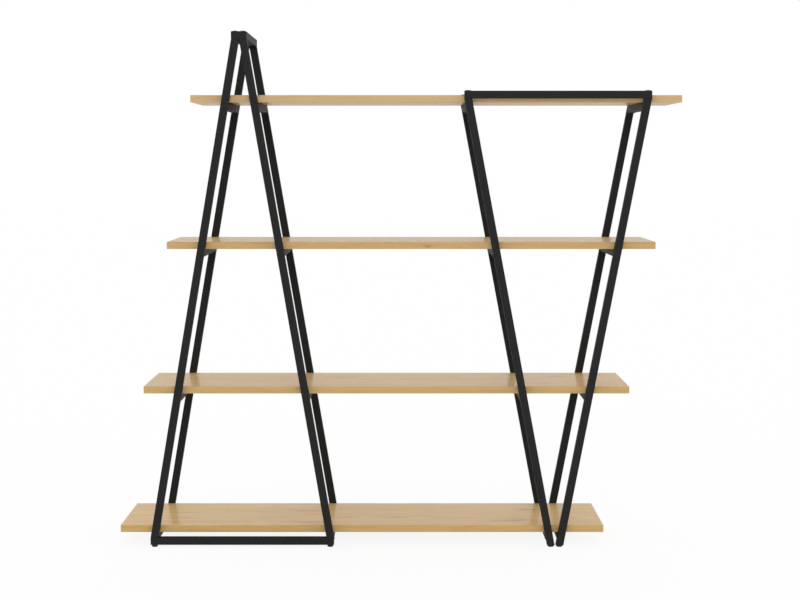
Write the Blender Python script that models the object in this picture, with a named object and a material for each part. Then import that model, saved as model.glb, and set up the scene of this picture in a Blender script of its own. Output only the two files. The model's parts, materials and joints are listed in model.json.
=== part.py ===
"""Four-shelf bookcase on an A-shaped and a V-shaped frame of square steel tube.

Each frame is a pair of leaning ladders: a front leg and a rear leg, joined by a support under every shelf.
Base bars spread the feet of the A and a ridge tube closes its head. Top bars tie the heads of the V, whose
legs stand side by side at the floor. Bolts through the bars run into plugs in the leg ends. X runs along
the shelves, the front faces -Y, Z is up, and the origin is on the floor under the middle of the bookcase.
"""

import math
from collections import namedtuple

import bmesh
import bpy
from mathutils import Matrix, Vector

# Fits
FIT = 0.0003                    # gap between two pieces that touch
CUT_OVERRUN = 0.002             # how far a cutter reaches past the face that it opens
MERGE_DISTANCE = 0.00001        # points of one turned piece closer than this are one point

# Shelf boards
SHELF_LENGTH = 1.300
SHELF_DEPTH = 0.305
SHELF_THICKNESS = 0.019
SHELF_EDGE_EASE = 0.0005
SHELF_SHIFT = 0.066             # each board lies this far to the left of the one above it
BOTTOM_SHELF_TOP = 0.056
LOWER_BAY = 0.376               # from one board's top to the next one's top
MIDDLE_BAY = 0.387
UPPER_BAY = 0.388

# Square tube of the frames
TUBE = 0.020
TUBE_WALL = 0.0015
TUBE_CORNER = 0.0015            # outer corner radius
SMALLEST_CORNER = 0.0005
END_PLATE = 0.002               # closes each end of a bar

# The two frames
FRAME_OFFSET = 0.420            # from the middle of the bookcase to the middle of each frame
A_SPREAD = 0.492                # length of the base bars
A_RISE = 0.166                  # ridge tube stands this far above the top board
A_LEG_GAP = 0.0004              # between the two legs under the ridge
V_SPREAD = 0.494                # length of the top bars
V_BAR_RISE = 0.011              # top bars stand this far above the top board
V_LEG_GAP = 0.003               # between the two legs at the floor
FLOOR_GAP = 0.006               # from the floor to the base bars

# Threaded plugs that fill the leg ends
PLUG_LENGTH = 0.016

# Domed bolts of the ridge and the top bars
BOLT_RADIUS = 0.003
BOLT_HEAD_RADIUS = 0.008
BOLT_HEAD_HEIGHT = 0.002
BOLT_HEAD_RIM = 0.0004          # upright part of the head's edge, below its dome
BOLT_REACH = 0.013              # how far the shank runs into the leg
BOLT_TIP = 0.0008               # chamfer at the end of the shank
HEX_ACROSS_FLATS = 0.004
HEX_DEPTH = 0.0012

# Cap screws hidden in the base bars
BASE_BOLT_RADIUS = 0.0025
BASE_BOLT_HEAD_RADIUS = 0.00425
BASE_BOLT_HEAD_HEIGHT = 0.004

# Levelling feet and the threaded sockets that carry them in the base bars
FOOT_RADIUS = 0.008
FOOT_EDGE = 0.002               # rounding of the pad's lower edge
STEM_RADIUS = 0.003
STEM_LENGTH = 0.0105            # above the pad
STEM_TIP = 0.0008
SOCKET_FLANGE = 0.001
SOCKET_RADIUS = 0.0045
SOCKET_LENGTH = 0.009           # above the underside of the bar

# Facets
CORNER_STEPS = 3
ROUND_SIDES = 16
HEX_SIDES = 6
DOME_STEPS = 4
EDGE_STEPS = 2
SMOOTH_ANGLE = math.radians(35)

# Sizes that follow
LEG_Y = SHELF_DEPTH / 2 + FIT + TUBE / 2
FRAME_DEPTH = 2 * LEG_Y + TUBE
LOWER_SHELF_TOP = BOTTOM_SHELF_TOP + LOWER_BAY
UPPER_SHELF_TOP = LOWER_SHELF_TOP + MIDDLE_BAY
TOP_SHELF_TOP = UPPER_SHELF_TOP + UPPER_BAY
BASE_BAR_TOP = FLOOR_GAP + TUBE
A_HEIGHT = TOP_SHELF_TOP + A_RISE
TOP_BAR_TOP = TOP_SHELF_TOP + V_BAR_RISE
FOOT_PAD = FLOOR_GAP - SOCKET_FLANGE - 2 * FIT
STEM_TOP = FOOT_PAD + STEM_LENGTH

# Boards from the floor up: name, height of the top face, and how many shifts it lies right of the middle
SHELVES = (
    ("bottom_shelf", BOTTOM_SHELF_TOP, -1.5),
    ("lower_shelf", LOWER_SHELF_TOP, -0.5),
    ("upper_shelf", UPPER_SHELF_TOP, 0.5),
    ("top_shelf", TOP_SHELF_TOP, 1.5),
)
SIDES = (("left", -1), ("right", 1))
ENDS = (("front", -1), ("rear", 1))
CORNERS = ((1, 1), (-1, 1), (-1, -1), (1, -1))

# inward is 1 where the legs come together as they rise, and -1 where they spread.
# low_bore and high_bore are the radii of the holes in the plugs at the two ends of a leg.
Frame = namedtuple("Frame", "name axis low high slope low_offset inward low_bore high_bore")


def clear_scene():
    """Starts from nothing."""
    for item in list(bpy.data.objects):
        bpy.data.objects.remove(item)


def material(name, colour, roughness, metallic):
    """A plain Principled finish."""
    made = bpy.data.materials.new(name)
    made.use_nodes = True
    shader = made.node_tree.nodes["Principled BSDF"]
    shader.inputs["Base Color"].default_value = (*colour, 1)
    shader.inputs["Roughness"].default_value = roughness
    shader.inputs["Metallic"].default_value = metallic
    return made


def place(name, mesh, finish, location=(0, 0, 0), parent=None):
    """Puts a mesh in the scene as a named piece."""
    item = bpy.data.objects.new(name, mesh)
    bpy.context.scene.collection.objects.link(item)
    item.parent = parent
    item.location = location
    if not mesh.materials:
        mesh.materials.append(finish)
    return item


def ladder_mark(name, location, turn):
    """An empty that carries the pieces of one ladder."""
    mark = bpy.data.objects.new(name, None)
    bpy.context.scene.collection.objects.link(mark)
    mark.location = location
    mark.rotation_euler.z = turn
    return mark


def cutter(name, mesh):
    """A shape that only cuts others."""
    item = bpy.data.objects.new(name, mesh)
    bpy.context.scene.collection.objects.link(item)
    item.hide_render = True
    item.display_type = "WIRE"
    return item


def cut(item, tool):
    """Takes the tool's shape out of a piece."""
    step = item.modifiers.new(tool.name, "BOOLEAN")
    step.operation = "DIFFERENCE"
    step.object = tool


def mesh_from(bm, name):
    """Makes a mesh of a bmesh, with its faces pointing out and its round faces smooth."""
    bmesh.ops.recalc_face_normals(bm, faces=bm.faces)
    mesh = bpy.data.meshes.new(name)
    bm.to_mesh(mesh)
    bm.free()
    mesh.shade_smooth()
    mesh.set_sharp_from_angle(angle=SMOOTH_ANGLE)
    return mesh


def lofted(name, rings, closed=False):
    """Skins rings of points one after another. A closed loft joins the last ring to the first, as in a tube."""
    bm = bmesh.new()
    loops = [[bm.verts.new(point) for point in ring] for ring in rings]
    following = loops[1:] + loops[:1] if closed else loops[1:]
    for this, other in zip(loops, following):
        for index, vertex in enumerate(this):
            bm.faces.new((this[index - 1], vertex, other[index], other[index - 1]))
    if not closed:
        bm.faces.new(loops[0])
        bm.faces.new(loops[-1])
    return mesh_from(bm, name)


def turned(name, profile, bored=False):
    """Turns (radius, height) points about Z. A bored profile is a loop that stays off the axis."""
    bm = bmesh.new()
    points = [bm.verts.new((radius, 0, height)) for radius, height in profile]
    following = points[1:] + points[:1] if bored else points[1:]
    edges = [bm.edges.new(pair) for pair in zip(points, following)]
    bmesh.ops.spin(
        bm,
        geom=points + edges,
        axis=(0, 0, 1),
        cent=(0, 0, 0),
        angle=2 * math.pi,
        steps=ROUND_SIDES,
    )
    bmesh.ops.remove_doubles(bm, verts=bm.verts, dist=MERGE_DISTANCE)
    return mesh_from(bm, name)


def copies(name, mesh, centres):
    """One mesh with the shape repeated at each centre."""
    bm = bmesh.new()
    for centre in centres:
        before = len(bm.verts)
        bm.from_mesh(mesh)
        bm.verts.ensure_lookup_table()
        bmesh.ops.transform(bm, matrix=Matrix.Translation(centre), verts=bm.verts[before:])
    return mesh_from(bm, name)


def arc(centre_radius, centre_height, radius, start, end, steps):
    """(radius, height) points of an arc, from one angle to another."""
    angles = [start + (end - start) * step / steps for step in range(steps + 1)]
    return [
        (centre_radius + radius * math.cos(a), centre_height + radius * math.sin(a)) for a in angles
    ]


def tube_outline(width, inset=0):
    """Outline of a tube, drawn in on all sides by the inset: (u, v) points, anticlockwise from the right."""
    radius = max(TUBE_CORNER - inset, SMALLEST_CORNER)
    half_u, half_v = width / 2 - inset - radius, TUBE / 2 - inset - radius
    points = []
    for corner, (u_side, v_side) in enumerate(CORNERS):
        start = corner * math.pi / 2
        points += arc(u_side * half_u, v_side * half_v, radius, start, start + math.pi / 2, CORNER_STEPS)
    return points


def leaning_ring(outline, slope, rise):
    """A level section through a leaning tube: stretched sideways, and shifted by the lean."""
    stretch = math.hypot(1, slope)
    return [Vector((u * stretch + slope * rise, v, rise)) for u, v in outline]


def upright_ring(outline, along, axis):
    """A section across a level bar that runs along X or Y."""
    if axis == "X":
        return [Vector((along, u, v)) for u, v in outline]
    return [Vector((u, along, v)) for u, v in outline]


def round_ring(radius, height, sides, shift=0):
    """A level ring of points. Its flats lie at the radius, so that a round piece of that radius passes."""
    half_step = math.pi / sides
    reach = radius / math.cos(half_step)
    angles = [half_step + 2 * math.pi * index / sides for index in range(sides)]
    return [Vector((shift + reach * math.cos(a), reach * math.sin(a), height)) for a in angles]


def drills(name, centres, radius, low, high, sides=ROUND_SIDES):
    """A cutter of upright cylinders at (x, y) centres."""
    drill = lofted(name, (round_ring(radius, low, sides), round_ring(radius, high, sides)))
    return cutter(name, copies(name, drill, [(x, y, 0) for x, y in centres]))


def leg_slope(run, rise):
    """Sideways run per rise of a tube whose outer face starts at one point and whose inner face ends at
    another, that far inwards and up."""
    reach = math.sqrt(run**2 + rise**2 - TUBE**2)
    return (run * rise - TUBE * reach) / (rise**2 - TUBE**2)


def a_frame():
    """Legs stand on the base bars, flush with their ends, and come together under the ridge."""
    low, high = BASE_BAR_TOP + FIT, A_HEIGHT - TUBE - FIT
    slope = leg_slope((A_SPREAD - A_LEG_GAP) / 2, high - low)
    low_offset = (A_SPREAD - TUBE * math.hypot(1, slope)) / 2
    bores = BASE_BOLT_RADIUS + FIT, BOLT_RADIUS + FIT
    return Frame("a_frame", -FRAME_OFFSET, low, high, slope, low_offset, 1, *bores)


def v_frame():
    """Legs stand side by side on their feet and spread to the ends of the top bars."""
    low, high = FOOT_PAD + FIT, TOP_BAR_TOP - TUBE - FIT
    slope = leg_slope((V_SPREAD - V_LEG_GAP) / 2, high - low)
    low_offset = (V_LEG_GAP + TUBE * math.hypot(1, slope)) / 2
    bores = STEM_RADIUS + FIT, BOLT_RADIUS + FIT
    return Frame("v_frame", FRAME_OFFSET, low, high, slope, low_offset, -1, *bores)


def leg_x(frame, side, height):
    """Where a leg's centre line is at a height."""
    return frame.axis + side * (frame.low_offset - frame.inward * frame.slope * (height - frame.low))


def leg_turn(frame, side):
    """Legs are drawn leaning to +X. Those that lean the other way are turned half round."""
    return 0 if side * frame.inward < 0 else math.pi


def leg_ends(frame, height):
    """A name for each leg of a frame, and its centre at a height."""
    return {
        f"{end}_{side}": (leg_x(frame, s, height), e * LEG_Y)
        for end, e in ENDS
        for side, s in SIDES
    }


def leg_mesh(frame):
    """A leaning tube, cut level at both ends. Each end is filled by a plug with an upright threaded hole."""
    outer, inner = tube_outline(TUBE), tube_outline(TUBE, TUBE_WALL)
    slope, sides = frame.slope, len(outer)
    top = frame.high - frame.low
    upper = top - PLUG_LENGTH
    return lofted(f"{frame.name}_leg", (
        leaning_ring(outer, slope, 0),
        leaning_ring(outer, slope, top),
        round_ring(frame.high_bore, top, sides, slope * top),
        round_ring(frame.high_bore, upper, sides, slope * top),
        leaning_ring(inner, slope, upper),
        leaning_ring(inner, slope, PLUG_LENGTH),
        round_ring(frame.low_bore, PLUG_LENGTH, sides),
        round_ring(frame.low_bore, 0, sides),
    ), closed=True)


def support_mesh():
    """A tube that lies level between a front leg and a rear leg."""
    outer, inner = tube_outline(TUBE), tube_outline(TUBE, TUBE_WALL)
    half = SHELF_DEPTH / 2
    return lofted("support", (
        upright_ring(outer, -half, "Y"),
        upright_ring(outer, half, "Y"),
        upright_ring(inner, half, "Y"),
        upright_ring(inner, -half, "Y"),
    ), closed=True)


def build_ladders(frame, paint):
    """The legs of a frame and the supports between them, on one mark for each ladder."""
    leg, support = leg_mesh(frame), support_mesh()
    for side, s in SIDES:
        turn = leg_turn(frame, s)
        foot = (leg_x(frame, s, frame.low), 0, frame.low)
        mark = ladder_mark(f"{frame.name}_ladder_{side}", foot, turn)
        for end, e in ENDS:
            place(f"{frame.name}_leg_{end}_{side}", leg, paint, (0, math.cos(turn) * e * LEG_Y, 0), mark)
        for shelf, top, _ in SHELVES:
            rise = top - SHELF_THICKNESS - FIT - TUBE / 2 - frame.low
            spot = (frame.slope * rise, 0, rise)
            place(f"{frame.name}_{shelf}_support_{side}", support, paint, spot, mark)


def bar_mesh(name, width, length, axis, inset=0):
    """A level bar about the origin, drawn in by the inset."""
    outline = tube_outline(width, inset)
    return lofted(name, (upright_ring(outline, -length / 2, axis), upright_ring(outline, length / 2, axis)))


def build_bars(name, width, length, axis, spots, paint):
    """Hollow bars with closed ends: one for each named spot."""
    solid = bar_mesh(name, width, length, axis)
    core = bar_mesh(f"{name}_core", width, length - 2 * END_PLATE, axis, TUBE_WALL)
    hollow = cutter(f"{name}_hollow", copies(f"{name}_hollow", core, spots.values()))
    bars = [place(f"{name}{ending}", solid, paint, spot) for ending, spot in spots.items()]
    for bar in bars:
        cut(bar, hollow)
    return bars


def front_and_rear(axis, height):
    """Spots of a front bar and a rear bar."""
    return {f"_{end}": (axis, e * LEG_Y, height) for end, e in ENDS}


def build_bolts(name, frame, bar_top, bars, steel):
    """Domed bolts from the top of the bars into the leg ends."""
    seat = bar_top + FIT
    top = seat + BOLT_HEAD_HEIGHT
    tip = frame.high - BOLT_REACH
    crown = BOLT_HEAD_HEIGHT - BOLT_HEAD_RIM
    ball = (BOLT_HEAD_RADIUS**2 + crown**2) / (2 * crown)
    spread = math.asin(BOLT_HEAD_RADIUS / ball)
    bolt = turned(name, [
        (0, tip),
        (BOLT_RADIUS - BOLT_TIP, tip),
        (BOLT_RADIUS, tip + BOLT_TIP),
        (BOLT_RADIUS, seat),
        (BOLT_HEAD_RADIUS, seat),
        *arc(0, top - ball, ball, math.pi / 2 - spread, math.pi / 2, DOME_STEPS),
    ])
    ends = leg_ends(frame, frame.high)
    recesses = drills(
        f"{name}_hex", ends.values(), HEX_ACROSS_FLATS / 2, top - HEX_DEPTH, top + CUT_OVERRUN, HEX_SIDES
    )
    for end, (x, y) in ends.items():
        cut(place(f"{name}_{end}", bolt, steel, (x, y, 0)), recesses)
    holes = drills(f"{name}_holes", ends.values(), BOLT_RADIUS + FIT, frame.high, seat + CUT_OVERRUN)
    for bar in bars:
        cut(bar, holes)


def build_base_bolts(frame, bars, steel):
    """Cap screws inside the base bars, up through the bar's upper wall into the leg ends."""
    seat = BASE_BAR_TOP - TUBE_WALL - FIT
    tip = frame.low + BOLT_REACH
    name = f"{frame.name}_base_bolt"
    bolt = turned(name, (
        (0, seat - BASE_BOLT_HEAD_HEIGHT),
        (BASE_BOLT_HEAD_RADIUS, seat - BASE_BOLT_HEAD_HEIGHT),
        (BASE_BOLT_HEAD_RADIUS, seat),
        (BASE_BOLT_RADIUS, seat),
        (BASE_BOLT_RADIUS, tip - BOLT_TIP),
        (BASE_BOLT_RADIUS - BOLT_TIP, tip),
        (0, tip),
    ))
    ends = leg_ends(frame, frame.low)
    for end, (x, y) in ends.items():
        place(f"{name}_{end}", bolt, steel, (x, y, 0))
    holes = drills(f"{name}_holes", ends.values(), BASE_BOLT_RADIUS + FIT, seat, frame.low + CUT_OVERRUN)
    for bar in bars:
        cut(bar, holes)


def build_foot_sockets(frame, bars, plastic):
    """Threaded bushes pushed into the underside of the base bars."""
    low = FOOT_PAD + FIT
    bore = STEM_RADIUS + FIT
    top = FLOOR_GAP + SOCKET_LENGTH
    name = f"{frame.name}_foot_socket"
    socket = turned(name, (
        (bore, low),
        (FOOT_RADIUS, low),
        (FOOT_RADIUS, low + SOCKET_FLANGE),
        (SOCKET_RADIUS, low + SOCKET_FLANGE),
        (SOCKET_RADIUS, top),
        (bore, top),
    ), bored=True)
    ends = leg_ends(frame, frame.low)
    for end, (x, y) in ends.items():
        place(f"{name}_{end}", socket, plastic, (x, y, 0))
    wall_top = FLOOR_GAP + TUBE_WALL
    holes = drills(f"{name}_holes", ends.values(), SOCKET_RADIUS + FIT, low, wall_top + CUT_OVERRUN)
    for bar in bars:
        cut(bar, holes)


def build_feet(frames, plastic):
    """Levelling feet: a round pad and a threaded stem, on the axis that the foot screws along."""
    foot = turned("levelling_foot", [
        (0, 0),
        *arc(FOOT_RADIUS - FOOT_EDGE, FOOT_EDGE, FOOT_EDGE, -math.pi / 2, 0, EDGE_STEPS),
        (FOOT_RADIUS, FOOT_PAD),
        (STEM_RADIUS, FOOT_PAD),
        (STEM_RADIUS, STEM_TOP - STEM_TIP),
        (STEM_RADIUS - STEM_TIP, STEM_TOP),
        (0, STEM_TOP),
    ])
    for frame in frames:
        for end, (x, y) in leg_ends(frame, frame.low).items():
            place(f"{frame.name}_foot_{end}", foot, plastic, (x, y, 0))


def build_shelf(name, top, shifts, wood):
    """A board with eased edges."""
    bm = bmesh.new()
    bmesh.ops.create_cube(bm, size=1)
    bmesh.ops.scale(bm, vec=(SHELF_LENGTH, SHELF_DEPTH, SHELF_THICKNESS), verts=bm.verts)
    board = place(name, mesh_from(bm, name), wood, (shifts * SHELF_SHIFT, 0, top - SHELF_THICKNESS / 2))
    ease = board.modifiers.new("eased_edges", "BEVEL")
    ease.width = SHELF_EDGE_EASE
    ease.segments = 1


def build():
    """The whole bookcase."""
    clear_scene()
    wood = material("oak_board", (0.58, 0.42, 0.22), 0.45, 0)
    paint = material("black_powder_coat", (0.02, 0.02, 0.022), 0.5, 0)
    bolt_steel = material("black_bolt_steel", (0.02, 0.02, 0.02), 0.35, 0.6)
    zinc = material("zinc_steel", (0.6, 0.6, 0.58), 0.35, 1)
    plastic = material("black_plastic", (0.02, 0.02, 0.02), 0.6, 0)
    a, v = a_frame(), v_frame()

    for name, top, shifts in SHELVES:
        build_shelf(name, top, shifts, wood)
    for frame in (a, v):
        build_ladders(frame, paint)

    base_spots = front_and_rear(a.axis, FLOOR_GAP + TUBE / 2)
    base_bars = build_bars("a_frame_base_bar", TUBE, A_SPREAD, "X", base_spots, paint)
    build_base_bolts(a, base_bars, zinc)
    build_foot_sockets(a, base_bars, plastic)

    ridge_width = 2 * TUBE * math.hypot(1, a.slope) + A_LEG_GAP
    ridge_spot = {"": (a.axis, 0, A_HEIGHT - TUBE / 2)}
    ridge = build_bars("a_frame_ridge_tube", ridge_width, FRAME_DEPTH, "Y", ridge_spot, paint)
    build_bolts("a_frame_ridge_bolt", a, A_HEIGHT, ridge, bolt_steel)

    top_spots = front_and_rear(v.axis, TOP_BAR_TOP - TUBE / 2)
    top_bars = build_bars("v_frame_top_bar", TUBE, V_SPREAD, "X", top_spots, paint)
    build_bolts("v_frame_top_bolt", v, TOP_BAR_TOP, top_bars, bolt_steel)

    build_feet((a, v), plastic)


build()
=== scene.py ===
"""Studio picture of the bookcase: the finish of every surface, the feet, and the screws and welds.

The frame gives the boards, tubes, bars and bolts, which keep their shapes and only get their finishes.
Pieces made here are placed from the frame's own nodes. Sizes are in metres, X runs along the boards, the
front faces -Y and Z is up.
"""

import json
import math

import bmesh
import bpy
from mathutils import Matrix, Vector


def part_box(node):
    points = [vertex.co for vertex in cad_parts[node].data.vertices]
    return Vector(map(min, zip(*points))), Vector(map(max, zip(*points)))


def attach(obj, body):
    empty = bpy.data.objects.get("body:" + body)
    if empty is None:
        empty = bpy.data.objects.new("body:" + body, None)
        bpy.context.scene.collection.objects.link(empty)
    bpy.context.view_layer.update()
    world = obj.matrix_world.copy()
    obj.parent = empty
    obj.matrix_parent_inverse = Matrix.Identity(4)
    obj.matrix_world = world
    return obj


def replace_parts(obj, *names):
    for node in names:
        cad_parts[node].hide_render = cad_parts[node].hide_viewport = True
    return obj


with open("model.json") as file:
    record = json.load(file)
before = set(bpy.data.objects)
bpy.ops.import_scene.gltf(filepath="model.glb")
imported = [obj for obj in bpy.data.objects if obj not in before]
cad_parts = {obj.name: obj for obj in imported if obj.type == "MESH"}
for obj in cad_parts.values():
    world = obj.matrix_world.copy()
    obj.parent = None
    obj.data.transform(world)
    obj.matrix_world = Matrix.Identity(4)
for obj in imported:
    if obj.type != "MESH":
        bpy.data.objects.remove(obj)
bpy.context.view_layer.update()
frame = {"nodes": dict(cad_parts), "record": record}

MM = 0.001
FRAME_BODY = "frame"
SMOOTH_ANGLE = math.radians(40)

# Camera, as fitted to the photograph
CAMERA_PLACE = (0.00415, -4.8728, 1.0403)
CAMERA_PITCH = math.radians(4.5576)      # downwards
FOCAL_LENGTH = 79.94                     # in millimetres, on the sensor below
SENSOR = 36
CAMERA_SHIFT = -0.0004                   # as a share of the sensor

# Studio
FLOOR_SIZE = 60
FLOOR_COLOUR = (0.90, 0.90, 0.90)
FLOOR_GLOW_SHARE = 0.90                  # how much of the floor that a ray sees is plain white
WORLD_STRENGTH = 0.95
LAMP_SOFTNESS = math.radians(35)         # how wide a lamp looks from the bookcase
LAMPS = {                                # degrees round from the front and up from the floor, and strength
    "front_lamp": (-4, 20, 0.5),
    "rear_lamp": (176, 40, 0.4),
}

# Levelling feet: a fluted pad on a threaded stem
PAD_RADIUS = 8.0 * MM
PAD_HEIGHT = 4.4 * MM
PAD_ROUNDING = 1.8 * MM                  # of its lower edge
PAD_STEPS = 6
PAD_TOP_EASE = 0.4 * MM
PAD_FLUTES = 20
FLUTE_SIDES = 6
FLUTE_DEPTH = 0.3 * MM
STEM_RADIUS = 2.95 * MM
STEM_TOP = 14.8 * MM
STEM_TIP = 0.8 * MM
THREAD_PITCH = 1.0 * MM
THREAD_DEPTH = 0.55 * MM
THREAD_STEPS = 6
THREAD_SIDES = 20

# Pan-headed screws, from under the supports into the boards
SCREW_SPACING = 0.200
SCREW_SIDES = 24
SCREW_HEAD_RADIUS = 4.2 * MM
SCREW_HEAD_HEIGHT = 2.4 * MM
SCREW_FLAT_RADIUS = 2.7 * MM
SCREW_HEAD_STEPS = 5
SCREW_SHANK_RADIUS = 1.9 * MM
SCREW_LENGTH = 34 * MM
SCREW_TIP = 4 * MM
SCREW_POINT_SHARE = 0.25                 # radius of the very tip, as a share of the shank's
RECESS_REACH = 2.1 * MM
RECESS_WIDTH = 0.8 * MM
RECESS_DEPTH = 1.4 * MM
RECESS_TAPER = 0.55                      # size of the recess at its bottom, as a share

# Welds between the supports and the legs
WELD_RADIUS = 1.3 * MM
WELD_RIPPLE = 0.12 * MM
WELD_RIPPLE_LENGTH = 1.7 * MM
WELD_STEP = 0.6 * MM
WELD_LEAST_STEPS = 2
WELD_SIDES = 8
WELD_CORNER = 1.5 * MM
WELD_CLEARANCE = 1.8 * MM                # from the end of a weld's line to the top of its support
WELD_TIP_SHARE = 0.35                    # thickness of a weld's first and last ring, as a share
WELD_SWELL_SHARE = 0.3                   # what each ring further in adds to that, up to the whole

# Boards: the tone of the edge strips, which also holds a painted sheen, strongest on the top board and
# fainter on each board below, and the streaks and knots that show in the photograph, with one patch of
# painted shade beside a leg.
# A mark is its place, with its height from the board's top, its reach along each axis, and its darkness.
# The heart is where the trunk's middle runs, in Y and under the board's top.
# Paleness multiplies the wood's tones.
FRONT_FACE = -0.1525                     # Y of the front of the boards
BOARDS = {
    "top_shelf": {
        "edge": (0.560, 0.379, 0.186),
        "heart": (0.035, 0.050),
        "paleness": 1.0,
        "marks": [],
    },
    "upper_shelf": {
        "edge": (0.529, 0.345, 0.153),
        "heart": (-0.020, 0.085),
        "paleness": 0.93,
        "marks": [
            ((0.077, FRONT_FACE, -0.012), (0.012, 0.010, 0.0035), 0.80),
            ((0.070, FRONT_FACE, -0.009), (0.040, 0.010, 0.0050), 0.25),
        ],
    },
    "lower_shelf": {
        "edge": (0.524, 0.350, 0.140),
        "heart": (0.060, 0.060),
        "paleness": 1.0,
        "marks": [
            ((-0.159, 0.046, 0), (0.050, 0.012, 0.004), 0.60),
            ((0.384, -0.080, 0), (0.045, 0.012, 0.004), 0.65),
            ((0.437, 0.062, 0), (0.040, 0.014, 0.004), 0.60),
            # painted shade on the front edge, just left of the A frame's front right leg
            ((-0.267, FRONT_FACE, -0.007), (0.020, 0.010, 0.004), 0.30),
        ],
    },
    "bottom_shelf": {
        "edge": (0.560, 0.362, 0.128),
        "heart": (-0.050, 0.070),
        "paleness": 1.12,
        "marks": [
            ((-0.252, 0.042, 0), (0.060, 0.012, 0.004), 0.45),
            ((-0.241, -0.112, 0), (0.070, 0.012, 0.004), 0.45),
            ((-0.599, 0.017, 0), (0.070, 0.010, 0.004), 0.30),
            ((0.365, 0.060, 0), (0.040, 0.012, 0.004), 0.60),
            ((0.327, -0.086, 0), (0.028, 0.010, 0.004), 0.75),
            ((0.292, -0.098, 0), (0.045, 0.010, 0.004), 0.50),
            ((0.009, -0.044, 0), (0.030, 0.010, 0.004), 0.30),
        ],
    },
}
WOOD_PALE = (0.600, 0.402, 0.170)
WOOD_DEEP = (0.550, 0.352, 0.132)
WOOD_LINE = (0.400, 0.245, 0.095)
WOOD_PORE = (0.250, 0.145, 0.055)
# tone of the knots, and of the painted shade beside a leg
WOOD_MARK = (0.300, 0.165, 0.075)
BOARD_OFFSET = (3.7, 1.3, 2.1)           # moves the grain's pattern from one board to the next
RING_WIDTH = 5.5 * MM
RING_LINE = (0.35, 0.97)                 # where in a ring its line begins and is darkest, as shares
TRUNK_LEAN = 0.035                       # how fast the heart sinks along a board

# Grain of the boards: the size of each pattern along, across and through a board, then its detail and
# its roughness
GRAIN_SWAY = ((0.35, 0.06, 0.06), 1, 0.5)
GRAIN_SHADE = ((0.45, 0.030, 0.030), 2, 0.5)
GRAIN_STREAKS = ((0.11, 0.0065, 0.0065), 3, 0.6)
GRAIN_LINES = ((0.09, 0.0016, 0.0016), 3, 0.65)
GRAIN_PORES = ((0.009, 0.00035, 0.00035), 2, 0.6)
SWAY_ACROSS = 12 * MM                    # how far the grain sways across a board
SWAY_THROUGH = 4 * MM                    # and through it

# How the grain shows: the levels between which a pattern comes in, and its share where it is strongest
NOISE_SPAN = (0.3, 0.7)                  # levels that stretch a soft pattern to its whole effect
LINE_SPAN = (0.2, 0.8)                   # the same for the fine lines
SHADE_SEEN = (0.35, 0.65)
STREAKS_SEEN = (0.50, 0.75)
LINES_SEEN = (0.50, 0.80)
PORES_SEEN = (0.60, 0.72)
FACING = (0.5, 0.6)                      # a face looks along an axis once this much of its normal does
RING_SHARES = (0.15, 0.5)                # where the streaks are faintest and where they are strongest
EDGE_SHARE = 0.85                        # of the edge strips' tone, painted sheen and all, on the upright faces
STREAK_SHARE = 0.45
LINE_SHARE = 0.45
PORE_SHARE = 0.35
MARK_FRAY = 0.5                          # how far the lines push a mark's border, as a share of its reach
MARK_FADE = (0.2, 1.2)                   # from a mark's dark core to its end, as shares of its reach
LINE_HEIGHT = 0.02 * MM
PORE_DEPTH = 0.04 * MM
WOOD_ROUGHNESS = (0.50, 0.58)
WOOD_SPECULAR = 0.1
LACQUER_WEIGHT = 0.3
LACQUER_ROUGHNESS = 0.14

# Powder coat: its tones, the size and detail of each pattern, and the depth of its relief
COAT_TONES = ((0.0110, 0.0114, 0.0110), (0.0148, 0.0152, 0.0146))
COAT_CLOUD = (90 * MM, 2)
COAT_PEEL = (1.6 * MM, 2)
COAT_GRIT = (0.4 * MM, 1)
COAT_WEAR_AND_HIGHLIGHT = (20 * MM, 3)
PEEL_HEIGHT = 0.08 * MM
GRIT_HEIGHT = 0.03 * MM
COAT_ROUGHNESS = (0.56, 0.66)
COAT_SPECULAR = 0.15
# Paler corners: thinner paint with a painted highlight along each corner, put into the colour
THIN_PAINT_AND_HIGHLIGHT_TONE = (0.04, 0.04, 0.04)
THIN_PAINT_AND_HIGHLIGHT_SHARE = 0.5
THIN_PAINT_AND_HIGHLIGHT_REACH = 0.9 * MM                    # how far from a corner the paint is thin and paler, with a painted highlight
THIN_PAINT_AND_HIGHLIGHT_TURN = (0.99, 0.9)                  # cosine of the turn at which the thin paint and its painted highlight begin and are complete
THIN_PAINT_AND_HIGHLIGHT_SEEN = (0.4, 0.65)

# Black oxide, zinc and plastic: their tones, patterns and relief in the same way
OXIDE_TONES = ((0.012, 0.012, 0.012), (0.022, 0.021, 0.020))
OXIDE_CLOUD = (3.0 * MM, 3)
OXIDE_GRAIN = (0.5 * MM, 2)
OXIDE_METAL = 0.6
OXIDE_ROUGHNESS = (0.38, 0.52)
OXIDE_HEIGHT = 0.01 * MM
ZINC_TONES = ((0.52, 0.53, 0.54), (0.66, 0.66, 0.65))
ZINC_CLOUD = (2.5 * MM, 3)
ZINC_GRAIN = (0.3 * MM, 2)
ZINC_ROUGHNESS = (0.26, 0.40)
ZINC_HEIGHT = 0.008 * MM
PLASTIC_TONES = ((0.012, 0.012, 0.012), (0.018, 0.018, 0.018))
PLASTIC_CLOUD = (4.0 * MM, 2)
PLASTIC_GRAIN = (0.6 * MM, 2)
PLASTIC_ROUGHNESS = (0.50, 0.62)
PLASTIC_SPECULAR = 0.3
PLASTIC_HEIGHT = 0.02 * MM

FRAMES = ("a_frame", "v_frame")
ENDS = (("front", -1), ("rear", 1))
SIDES = ("left", "right")

# A Mix node numbers its two inputs and its output by what it mixes
MIX_SOCKETS = {"RGBA": (6, 7, 2), "VECTOR": (4, 5, 1)}


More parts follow.
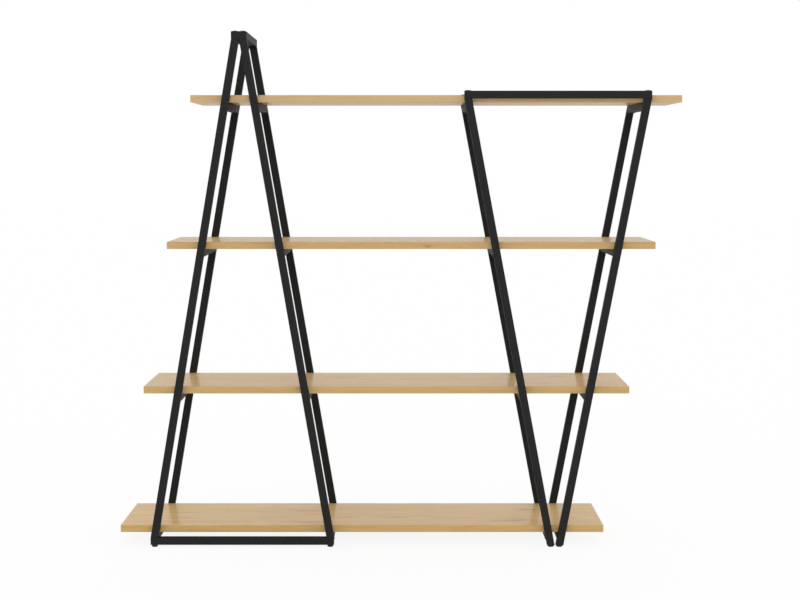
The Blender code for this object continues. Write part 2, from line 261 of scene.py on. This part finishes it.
class Finish:
    """A material, with short ways to add and wire its nodes."""

    def __init__(self, name):
        self.material = bpy.data.materials.new(name)
        self.material.use_nodes = True
        self.tree = self.material.node_tree
        self.shader = self.tree.nodes["Principled BSDF"]

    def wire(self, target, value):
        """Sets an input to a number or a colour, or wires another node's output to it."""
        if isinstance(value, bpy.types.NodeSocket):
            self.tree.links.new(value, target)
        else:
            target.default_value = value

    def node(self, kind, inputs=(), **settings):
        """Adds a node. inputs are pairs of an input's name or number and its value."""
        made = self.tree.nodes.new(kind)
        for key, value in settings.items():
            setattr(made, key, value)
        for key, value in inputs:
            self.wire(made.inputs[key], value)
        return made

    def place(self):
        """The place on a piece. The frame's own pieces share the bookcase's coordinates."""
        return self.node("ShaderNodeTexCoord").outputs["Object"]

    def vector(self, operation, first, second):
        """One step of vector arithmetic."""
        inputs = ((0, first), (1, second))
        return self.node("ShaderNodeVectorMath", inputs, operation=operation)

    def maths(self, operation, first, second=0.0):
        """One step of arithmetic."""
        return self.node("ShaderNodeMath", ((0, first), (1, second)), operation=operation).outputs[0]

    def levels(self, value, low, high, to_low=0.0, to_high=1.0):
        """Stretches a range of a value to another range, and clips it there."""
        return self.node("ShaderNodeMapRange", (
            ("Value", value),
            ("From Min", low),
            ("From Max", high),
            ("To Min", to_low),
            ("To Max", to_high),
        )).outputs[0]

    def noise(self, place, sizes, detail, roughness=0.5):
        """Soft noise from 0 to 1, with blobs of a size along each axis."""
        scaled = self.vector("DIVIDE", place, sizes).outputs[0]
        inputs = (("Vector", scaled), ("Scale", 1.0), ("Detail", detail), ("Roughness", roughness))
        return self.node("ShaderNodeTexNoise", inputs).outputs["Fac"]

    def speckle(self, place, size, detail):
        """Soft noise from 0 to 1, with blobs of one size along every axis."""
        return self.noise(place, (size,) * 3, detail)

    def mix(self, share, first, second, kind="RGBA"):
        """Mixes two colours, or two vectors. share is the share of the second."""
        one, other, mixed = MIX_SOCKETS[kind]
        inputs = ((0, share), (one, first), (other, second))
        return self.node("ShaderNodeMix", inputs, data_type=kind).outputs[mixed]

    def bump(self, height, depth, normal=None):
        """A bump whose full height is a depth in metres."""
        made = self.node("ShaderNodeBump", (("Height", height), ("Distance", depth)))
        if normal is not None:
            self.wire(made.inputs["Normal"], normal)
        return made.outputs[0]

    def set(self, **values):
        """Sets inputs of the shader, named with _ for a space, and gives back the material."""
        for key, value in values.items():
            self.wire(self.shader.inputs[key.replace("_", " ")], value)
        return self.material


def opaque(tone, paleness=1.0):
    """A colour with its alpha."""
    return (*(value * paleness for value in tone), 1.0)


def growth_rings(finish, place, across, height):
    """Lines where the growth rings of a leaning trunk, whose heart is at a Y and a Z, meet the faces."""
    axes = finish.node("ShaderNodeSeparateXYZ", ((0, place),))
    lean = finish.maths("MULTIPLY", axes.outputs["X"], TRUNK_LEAN)
    away = finish.node("ShaderNodeCombineXYZ", (
        ("Y", finish.maths("SUBTRACT", axes.outputs["Y"], across)),
        ("Z", finish.maths("ADD", finish.maths("SUBTRACT", axes.outputs["Z"], height), lean)),
    )).outputs[0]
    distance = finish.vector("LENGTH", away, (0, 0, 0)).outputs["Value"]
    age = finish.maths("DIVIDE", distance, RING_WIDTH)
    return finish.levels(finish.maths("FRACT", age), *RING_LINE)


def oak(name, number, board):
    """Light oak laminate. Its grain runs along X, and along Y on the strips of the two short ends."""
    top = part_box(name)[1].z
    across, depth = board["heart"]
    finish = Finish(f"oak_{name}")
    place = finish.place()
    facing = finish.node("ShaderNodeNewGeometry").outputs["Normal"]
    normal = finish.node("ShaderNodeSeparateXYZ", ((0, facing),))
    at_end = finish.levels(finish.maths("ABSOLUTE", normal.outputs["X"]), *FACING)
    on_edge = finish.levels(finish.maths("ABSOLUTE", normal.outputs["Z"]), *reversed(FACING))

    axes = finish.node("ShaderNodeSeparateXYZ", ((0, place),))
    turned = finish.node("ShaderNodeCombineXYZ", (
        ("X", axes.outputs["Y"]),
        ("Y", axes.outputs["X"]),
        ("Z", axes.outputs["Z"]),
    )).outputs[0]
    along = finish.mix(at_end, place, turned, "VECTOR")
    offset = [number * step for step in BOARD_OFFSET]
    grain = finish.vector("ADD", along, offset).outputs[0]

    sway = finish.noise(grain, *GRAIN_SWAY)
    sway_across = finish.node("ShaderNodeCombineXYZ", (
        ("Y", finish.levels(sway, 0, 1, -SWAY_ACROSS, SWAY_ACROSS)),
        ("Z", finish.levels(sway, 0, 1, -SWAY_THROUGH, SWAY_THROUGH)),
    )).outputs[0]
    grain = finish.vector("ADD", grain, sway_across).outputs[0]
    swayed = finish.vector("ADD", place, sway_across).outputs[0]

    shade = finish.noise(grain, *GRAIN_SHADE)
    streaks = finish.noise(grain, *GRAIN_STREAKS)
    lines = finish.noise(grain, *GRAIN_LINES)
    in_pore = finish.levels(finish.noise(grain, *GRAIN_PORES), *PORES_SEEN)
    rings = growth_rings(finish, swayed, across, top - depth)
    in_ring = finish.maths("MULTIPLY", rings, finish.levels(streaks, *NOISE_SPAN, *RING_SHARES))

    deep, pale = (opaque(wood, board["paleness"]) for wood in (WOOD_DEEP, WOOD_PALE))
    tone = finish.mix(finish.levels(shade, *SHADE_SEEN), deep, pale)
    tone = finish.mix(in_ring, tone, opaque(WOOD_LINE))
    # edge strips: their own tone together with a painted sheen that fades from the top board down
    tone = finish.mix(finish.levels(on_edge, 0, 1, 0, EDGE_SHARE), tone, opaque(board["edge"]))
    tone = finish.mix(finish.levels(streaks, *STREAKS_SEEN, 0, STREAK_SHARE), tone, opaque(WOOD_LINE))
    tone = finish.mix(finish.levels(lines, *LINES_SEEN, 0, LINE_SHARE), tone, opaque(WOOD_LINE))
    tone = finish.mix(finish.maths("MULTIPLY", in_pore, PORE_SHARE), tone, opaque(WOOD_PORE))
    # knots, and one patch of painted shade on a front edge beside a leg
    for (x, y, rise), reach, darkness in board["marks"]:
        centre = (x, y, top + rise)
        away = finish.vector("DIVIDE", finish.vector("SUBTRACT", place, centre).outputs[0], reach).outputs[0]
        distance = finish.vector("LENGTH", away, (0, 0, 0)).outputs["Value"]
        fray = finish.levels(lines, *LINE_SPAN, -MARK_FRAY, MARK_FRAY)
        frayed = finish.maths("ADD", distance, fray)
        tone = finish.mix(finish.levels(frayed, *MARK_FADE, darkness, 0), tone, opaque(WOOD_MARK))
    relief = finish.bump(in_pore, -PORE_DEPTH, finish.bump(lines, LINE_HEIGHT))
    return finish.set(
        Base_Color=tone,
        Roughness=finish.levels(lines, *LINE_SPAN, *WOOD_ROUGHNESS),
        Specular_IOR_Level=WOOD_SPECULAR,
        Coat_Weight=LACQUER_WEIGHT,
        Coat_Roughness=LACQUER_ROUGHNESS,
        Normal=relief,
        Coat_Normal=relief,
    )


def powder_coat():
    """Matt black powder coat: a fine orange peel, and paler corners, where the colour holds thinner paint
    and a painted highlight.
    """
    finish = Finish("powder_coat")
    place = finish.place()
    cloud = finish.speckle(place, *COAT_CLOUD)
    peel = finish.speckle(place, *COAT_PEEL)
    grit = finish.speckle(place, *COAT_GRIT)
    rounded = finish.node("ShaderNodeBevel", (("Radius", THIN_PAINT_AND_HIGHLIGHT_REACH),), samples=4).outputs[0]
    facing = finish.node("ShaderNodeNewGeometry").outputs["Normal"]
    turn = finish.vector("DOT_PRODUCT", rounded, facing).outputs["Value"]
    wear_and_highlight = finish.speckle(place, *COAT_WEAR_AND_HIGHLIGHT)
    thin_paint_and_highlight = finish.maths("MULTIPLY", finish.levels(turn, *THIN_PAINT_AND_HIGHLIGHT_TURN), finish.levels(wear_and_highlight, *THIN_PAINT_AND_HIGHLIGHT_SEEN))
    tone = finish.mix(cloud, *map(opaque, COAT_TONES))
    # paler corners: thinner paint and a painted highlight in the colour
    tone = finish.mix(finish.maths("MULTIPLY", thin_paint_and_highlight, THIN_PAINT_AND_HIGHLIGHT_SHARE), tone, opaque(THIN_PAINT_AND_HIGHLIGHT_TONE))
    return finish.set(
        Base_Color=tone,
        Roughness=finish.levels(peel, *NOISE_SPAN, *COAT_ROUGHNESS),
        Specular_IOR_Level=COAT_SPECULAR,
        Normal=finish.bump(grit, GRIT_HEIGHT, finish.bump(peel, PEEL_HEIGHT)),
    )


def black_oxide():
    """Black oxide on turned steel, with a faint trace of handling."""
    finish = Finish("black_oxide")
    place = finish.place()
    cloud = finish.speckle(place, *OXIDE_CLOUD)
    grain = finish.speckle(place, *OXIDE_GRAIN)
    return finish.set(
        Base_Color=finish.mix(cloud, *map(opaque, OXIDE_TONES)),
        Metallic=OXIDE_METAL,
        Roughness=finish.levels(cloud, *NOISE_SPAN, *OXIDE_ROUGHNESS),
        Normal=finish.bump(grain, OXIDE_HEIGHT),
    )


def zinc():
    """Bright zinc plate with its faint spangle."""
    finish = Finish("zinc_plate")
    place = finish.place()
    cloud = finish.speckle(place, *ZINC_CLOUD)
    grain = finish.speckle(place, *ZINC_GRAIN)
    return finish.set(
        Base_Color=finish.mix(cloud, *map(opaque, ZINC_TONES)),
        Metallic=1.0,
        Roughness=finish.levels(cloud, *NOISE_SPAN, *ZINC_ROUGHNESS),
        Normal=finish.bump(grain, ZINC_HEIGHT),
    )


def moulded_plastic():
    """Black moulded plastic with a spark-eroded texture."""
    finish = Finish("moulded_plastic")
    place = finish.place()
    cloud = finish.speckle(place, *PLASTIC_CLOUD)
    grain = finish.speckle(place, *PLASTIC_GRAIN)
    return finish.set(
        Base_Color=finish.mix(cloud, *map(opaque, PLASTIC_TONES)),
        Roughness=finish.levels(grain, *NOISE_SPAN, *PLASTIC_ROUGHNESS),
        Specular_IOR_Level=PLASTIC_SPECULAR,
        Normal=finish.bump(grain, PLASTIC_HEIGHT),
    )


def dress(finishes):
    """Gives each piece of the frame its finish."""
    slots = {row["node"]: row["material_slot"] for row in frame["record"]["subparts"]}
    for node, item in frame["nodes"].items():
        finish = finishes.get(slots[node])
        if finish is None:
            finish = oak(node, list(BOARDS).index(node), BOARDS[node])
        item.data.materials.clear()
        item.data.materials.append(finish)


def mesh_from(bm, name, finish):
    """Makes a mesh of a bmesh, with its faces pointing out and its round faces smooth."""
    bmesh.ops.recalc_face_normals(bm, faces=bm.faces)
    mesh = bpy.data.meshes.new(name)
    bm.to_mesh(mesh)
    bm.free()
    mesh.shade_smooth()
    mesh.set_sharp_from_angle(angle=SMOOTH_ANGLE)
    mesh.materials.append(finish)
    return mesh


def skin(bm, rings, capped=(True, True)):
    """Skins rings of points one after another, caps the ends as asked, and returns the loops of points."""
    loops = [[bm.verts.new(point) for point in ring] for ring in rings]
    for this, other in zip(loops, loops[1:]):
        for index, vertex in enumerate(this):
            bm.faces.new((this[index - 1], vertex, other[index], other[index - 1]))
    for loop, cap in zip((loops[0], loops[-1]), capped):
        if cap:
            bm.faces.new(loop)
    return loops


def ring(radius, height, sides):
    """A level ring. radius is a number, or a function of the share of the turn."""
    points = []
    for index in range(sides):
        share = index / sides
        reach = radius(share) if callable(radius) else radius
        angle = 2 * math.pi * share
        points.append((reach * math.cos(angle), reach * math.sin(angle), height))
    return points


def put(name, mesh, place, body, turn=0.0):
    """Puts a piece in the scene, on its body; its finish comes with its mesh."""
    item = bpy.data.objects.new(name, mesh)
    bpy.context.scene.collection.objects.link(item)
    item.location = place
    item.rotation_euler.z = turn
    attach(item, body)
    return item


def fluted(radius, share):
    """A radius with flutes, at a share of their full depth."""
    return lambda turn: radius - share * FLUTE_DEPTH * (1 - math.cos(2 * math.pi * PAD_FLUTES * turn)) / 2


def pad_mesh(finish):
    """A round pad: rounded below, fluted round its rim, flat on top."""
    sides = PAD_FLUTES * FLUTE_SIDES
    core = PAD_RADIUS - PAD_ROUNDING
    rings = []
    for step in range(PAD_STEPS + 1):
        share = step / PAD_STEPS
        angle = share * math.pi / 2
        radius = core + PAD_ROUNDING * math.sin(angle)
        rings.append(ring(fluted(radius, share), PAD_ROUNDING * (1 - math.cos(angle)), sides))
    bm = bmesh.new()
    skin(bm, (
        *rings,
        ring(fluted(PAD_RADIUS, 1), PAD_HEIGHT - PAD_TOP_EASE, sides),
        ring(PAD_RADIUS - PAD_TOP_EASE, PAD_HEIGHT, sides),
        ring(STEM_RADIUS, PAD_HEIGHT, sides),
    ))
    return mesh_from(bm, "foot_pad", finish)


def stem_mesh(finish):
    """A threaded stem, from inside the pad to its chamfered tip."""
    length = STEM_TOP - PAD_HEIGHT
    steps = round(length / THREAD_PITCH * THREAD_STEPS)
    rings = []
    for step in range(steps + 1):
        rise = length * step / steps
        chamfer = max(0.0, STEM_TIP - (length - rise))

        def threaded(share):
            groove = abs(2 * ((rise / THREAD_PITCH - share) % 1) - 1)
            return STEM_RADIUS - max(THREAD_DEPTH * groove, chamfer)

        rings.append(ring(threaded, PAD_HEIGHT + rise, THREAD_SIDES))
    bm = bmesh.new()
    skin(bm, rings)
    return mesh_from(bm, "foot_stem", finish)


def build_feet(plastic, steel):
    """A pad and a stem for each levelling foot."""
    pad, stem = pad_mesh(plastic), stem_mesh(steel)
    for body, nodes in frame["record"]["behaviour"]["bodies"].items():
        if body == FRAME_BODY:
            continue
        low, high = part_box(nodes[0])
        axis = ((low.x + high.x) / 2, (low.y + high.y) / 2, low.z)
        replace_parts(put(f"{body}_pad", pad, axis, body), nodes[0])
        put(f"{body}_stem", stem, axis, body)


def cross_outline(share, height):
    """Outline of a cross recess, at a share of its full size."""
    reach, half = RECESS_REACH * share, RECESS_WIDTH * share / 2
    corner = ((reach, -half), (reach, half), (half, half))
    points = []
    for quarter in range(4):
        c, s = round(math.cos(quarter * math.pi / 2)), round(math.sin(quarter * math.pi / 2))
        points += [(c * x - s * y, s * x + c * y, height) for x, y in corner]
    return points


def screw_mesh(finish):
    """A pan-headed screw with a cross recess. Its head hangs below the origin and its shank points up."""
    bm = bmesh.new()
    rim = SCREW_HEAD_RADIUS - SCREW_FLAT_RADIUS
    dome = []
    for step in range(SCREW_HEAD_STEPS + 1):
        angle = math.pi / 2 * step / SCREW_HEAD_STEPS
        dome.append((SCREW_FLAT_RADIUS + rim * math.sin(angle), -SCREW_HEAD_HEIGHT * math.cos(angle)))
    profile = [
        *dome,
        (SCREW_SHANK_RADIUS, 0),
        (SCREW_SHANK_RADIUS, SCREW_LENGTH - SCREW_TIP),
        (SCREW_SHANK_RADIUS * SCREW_POINT_SHARE, SCREW_LENGTH),
    ]
    face = skin(bm, [ring(radius, height, SCREW_SIDES) for radius, height in profile], (False, True))[0]
    recess = skin(bm, (
        cross_outline(1, -SCREW_HEAD_HEIGHT),
        cross_outline(RECESS_TAPER, RECESS_DEPTH - SCREW_HEAD_HEIGHT),
    ), (False, True))[0]
    edges = []
    for loop in (face, recess):
        edges += [bm.edges.get((loop[index - 1], vertex)) for index, vertex in enumerate(loop)]
    bmesh.ops.triangle_fill(bm, edges=edges, use_beauty=True, use_dissolve=False)
    return mesh_from(bm, "board_screw", finish)


def supports():
    """The supports: the frame, the shelf and the side of each."""
    return [(kind, shelf, side) for kind in FRAMES for shelf in BOARDS for side in SIDES]


def build_screws(steel):
    """Two screws under each support."""
    mesh = screw_mesh(steel)
    for kind, shelf, side in supports():
        low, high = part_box(f"{kind}_{shelf}_support_{side}")
        for end, e in ENDS:
            spot = ((low.x + high.x) / 2, e * SCREW_SPACING / 2, low.z)
            put(f"{kind}_{shelf}_screw_{end}_{side}", mesh, spot, FRAME_BODY)


def bend(x, z, end, steps):
    """Points round a corner, a quarter turn that ends at an angle."""
    angles = [end + math.pi / 2 * (1 - step / steps) for step in range(steps + 1)]
    return [Vector((x + WELD_CORNER * math.cos(a), 0, z + WELD_CORNER * math.sin(a))) for a in angles]


def weld_steps(length):
    """Number of steps of a weld along a length."""
    return max(WELD_LEAST_STEPS, round(length / WELD_STEP))


def weld_route(half, top):
    """Points down one side of a support's end, round its lower corners and up the other side."""
    reach, turn = half - WELD_CORNER, math.pi / 2
    corners = ((reach, -half + WELD_CORNER, -turn), (-reach, -half + WELD_CORNER, -2 * turn))
    steps = weld_steps(WELD_CORNER * turn)
    down = weld_steps(top + half - WELD_CORNER)
    across = weld_steps(2 * reach)
    points = [Vector((half, 0, top - (top + half - WELD_CORNER) * i / down)) for i in range(down)]
    points += bend(*corners[0], steps)
    points += [Vector((reach - 2 * reach * i / across, 0, -half)) for i in range(1, across)]
    points += bend(*corners[1], steps)
    return points + [Vector((-point.x, 0, point.z)) for point in reversed(points[:down])]


def weld_mesh(name, half, lean, finish):
    """A rippled bead round the end of a support, drawn in where the leaning leg's corner falls away."""
    top = half - WELD_CLEARANCE
    route = weld_route(half, top)
    width = half * math.hypot(1, lean) - WELD_CORNER / 2
    for point in route:
        centre = lean * point.z
        point.x = min(max(point.x, centre - width), centre + width)
    support_axis = Vector((0, 1, 0))
    angles = [2 * math.pi * side / WELD_SIDES for side in range(WELD_SIDES)]
    rings = []
    run = 0.0
    for index, point in enumerate(route):
        before, after = route[max(index - 1, 0)], route[min(index + 1, len(route) - 1)]
        run += (point - before).length
        along = (after - before).normalized()
        out = support_axis.cross(along)
        end = min(index, len(route) - 1 - index)
        swell = min(1.0, WELD_TIP_SHARE + WELD_SWELL_SHARE * end)
        radius = (WELD_RADIUS + WELD_RIPPLE * math.sin(2 * math.pi * run / WELD_RIPPLE_LENGTH)) * swell
        rings.append([point + radius * (math.cos(a) * out + math.sin(a) * support_axis) for a in angles])
    bm = bmesh.new()
    skin(bm, rings)
    return mesh_from(bm, name, finish)


def leg_lean(kind, side):
    """Sideways run per rise of a leg, from its foot and its top bolt."""
    bolt = "ridge" if kind == "a_frame" else "top"
    foot_low, foot_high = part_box(f"{kind}_foot_front_{side}")
    bolt_low, bolt_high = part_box(f"{kind}_{bolt}_bolt_front_{side}")
    leg_low, leg_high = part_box(f"{kind}_leg_front_{side}")
    run = (bolt_low.x + bolt_high.x - foot_low.x - foot_high.x) / 2
    return run / (leg_high.z - leg_low.z)


def build_welds(paint):
    """A bead at each end of each support."""
    for kind in FRAMES:
        for side in SIDES:
            low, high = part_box(f"{kind}_top_shelf_support_{side}")
            half = (high.z - low.z) / 2
            lean = leg_lean(kind, side)
            meshes = {e: weld_mesh(f"{kind}_weld_{end}_{side}", half, -e * lean, paint) for end, e in ENDS}
            for shelf in BOARDS:
                low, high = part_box(f"{kind}_{shelf}_support_{side}")
                for end, e in ENDS:
                    spot = ((low.x + high.x) / 2, low.y if e < 0 else high.y, (low.z + high.z) / 2)
                    turn = 0 if e < 0 else math.pi
                    name = f"{kind}_{shelf}_weld_{end}_{side}"
                    put(name, meshes[e], spot, FRAME_BODY, turn)


def camera():
    """The photograph's view."""
    data = bpy.data.cameras.new("camera")
    data.lens = FOCAL_LENGTH
    data.sensor_width = SENSOR
    data.shift_x = CAMERA_SHIFT
    item = bpy.data.objects.new("camera", data)
    item.location = CAMERA_PLACE
    item.rotation_euler.x = math.pi / 2 - CAMERA_PITCH
    bpy.context.scene.collection.objects.link(item)
    bpy.context.scene.camera = item


def background_seen(tree):
    """1 for the rays that show the background: those of the camera, and those of reflections and glass."""
    path = tree.nodes.new("ShaderNodeLightPath")
    total = path.outputs["Is Camera Ray"]
    for kind in ("Is Glossy Ray", "Is Transmission Ray"):
        step = tree.nodes.new("ShaderNodeMath")
        step.operation = "MAXIMUM"
        tree.links.new(total, step.inputs[0])
        tree.links.new(path.outputs[kind], step.inputs[1])
        total = step.outputs[0]
    return total


def room():
    """A plain white room, which lights the bookcase a little less than it shows."""
    made = bpy.data.worlds.new("room")
    made.use_nodes = True
    tree = made.node_tree
    strength = tree.nodes.new("ShaderNodeMapRange")
    tree.links.new(background_seen(tree), strength.inputs["Value"])
    strength.inputs["To Min"].default_value = WORLD_STRENGTH
    background = tree.nodes["Background"]
    background.inputs["Color"].default_value = opaque((1, 1, 1))
    tree.links.new(strength.outputs[0], background.inputs["Strength"])
    bpy.context.scene.world = made


def floor():
    """A pale floor that runs into the white of the room and keeps the bookcase's soft shadow."""
    bm = bmesh.new()
    bmesh.ops.create_grid(bm, x_segments=1, y_segments=1, size=FLOOR_SIZE / 2)
    mesh = bpy.data.meshes.new("floor")
    bm.to_mesh(mesh)
    bm.free()
    made = bpy.data.materials.new("pale_floor")
    made.use_nodes = True
    tree = made.node_tree
    tree.nodes.remove(tree.nodes["Principled BSDF"])
    matt = tree.nodes.new("ShaderNodeBsdfDiffuse")
    matt.inputs["Color"].default_value = opaque(FLOOR_COLOUR)
    glow = tree.nodes.new("ShaderNodeEmission")
    share = tree.nodes.new("ShaderNodeMapRange")
    tree.links.new(background_seen(tree), share.inputs["Value"])
    share.inputs["To Max"].default_value = FLOOR_GLOW_SHARE
    both = tree.nodes.new("ShaderNodeMixShader")
    tree.links.new(share.outputs[0], both.inputs[0])
    tree.links.new(matt.outputs[0], both.inputs[1])
    tree.links.new(glow.outputs[0], both.inputs[2])
    tree.links.new(both.outputs[0], tree.nodes["Material Output"].inputs["Surface"])
    mesh.materials.append(made)
    item = bpy.data.objects.new("floor", mesh)
    bpy.context.scene.collection.objects.link(item)


def lamp(name, azimuth, elevation, strength):
    """A soft lamp, far enough away to light the whole bookcase alike."""
    data = bpy.data.lights.new(name, "SUN")
    data.angle = LAMP_SOFTNESS
    data.energy = strength
    item = bpy.data.objects.new(name, data)
    item.rotation_euler = (math.pi / 2 - math.radians(elevation), 0, math.radians(azimuth))
    bpy.context.scene.collection.objects.link(item)


def build():
    """The whole scene."""
    finishes = {
        "black_powder_coat": powder_coat(),
        "black_bolt_steel": black_oxide(),
        "zinc_steel": zinc(),
        "black_plastic": moulded_plastic(),
    }
    dress(finishes)
    build_feet(finishes["black_plastic"], finishes["zinc_steel"])
    build_screws(finishes["black_bolt_steel"])
    build_welds(finishes["black_powder_coat"])
    camera()
    room()
    floor()
    for name, settings in LAMPS.items():
        lamp(name, *settings)
    bpy.context.scene.view_settings.view_transform = "Standard"


build()
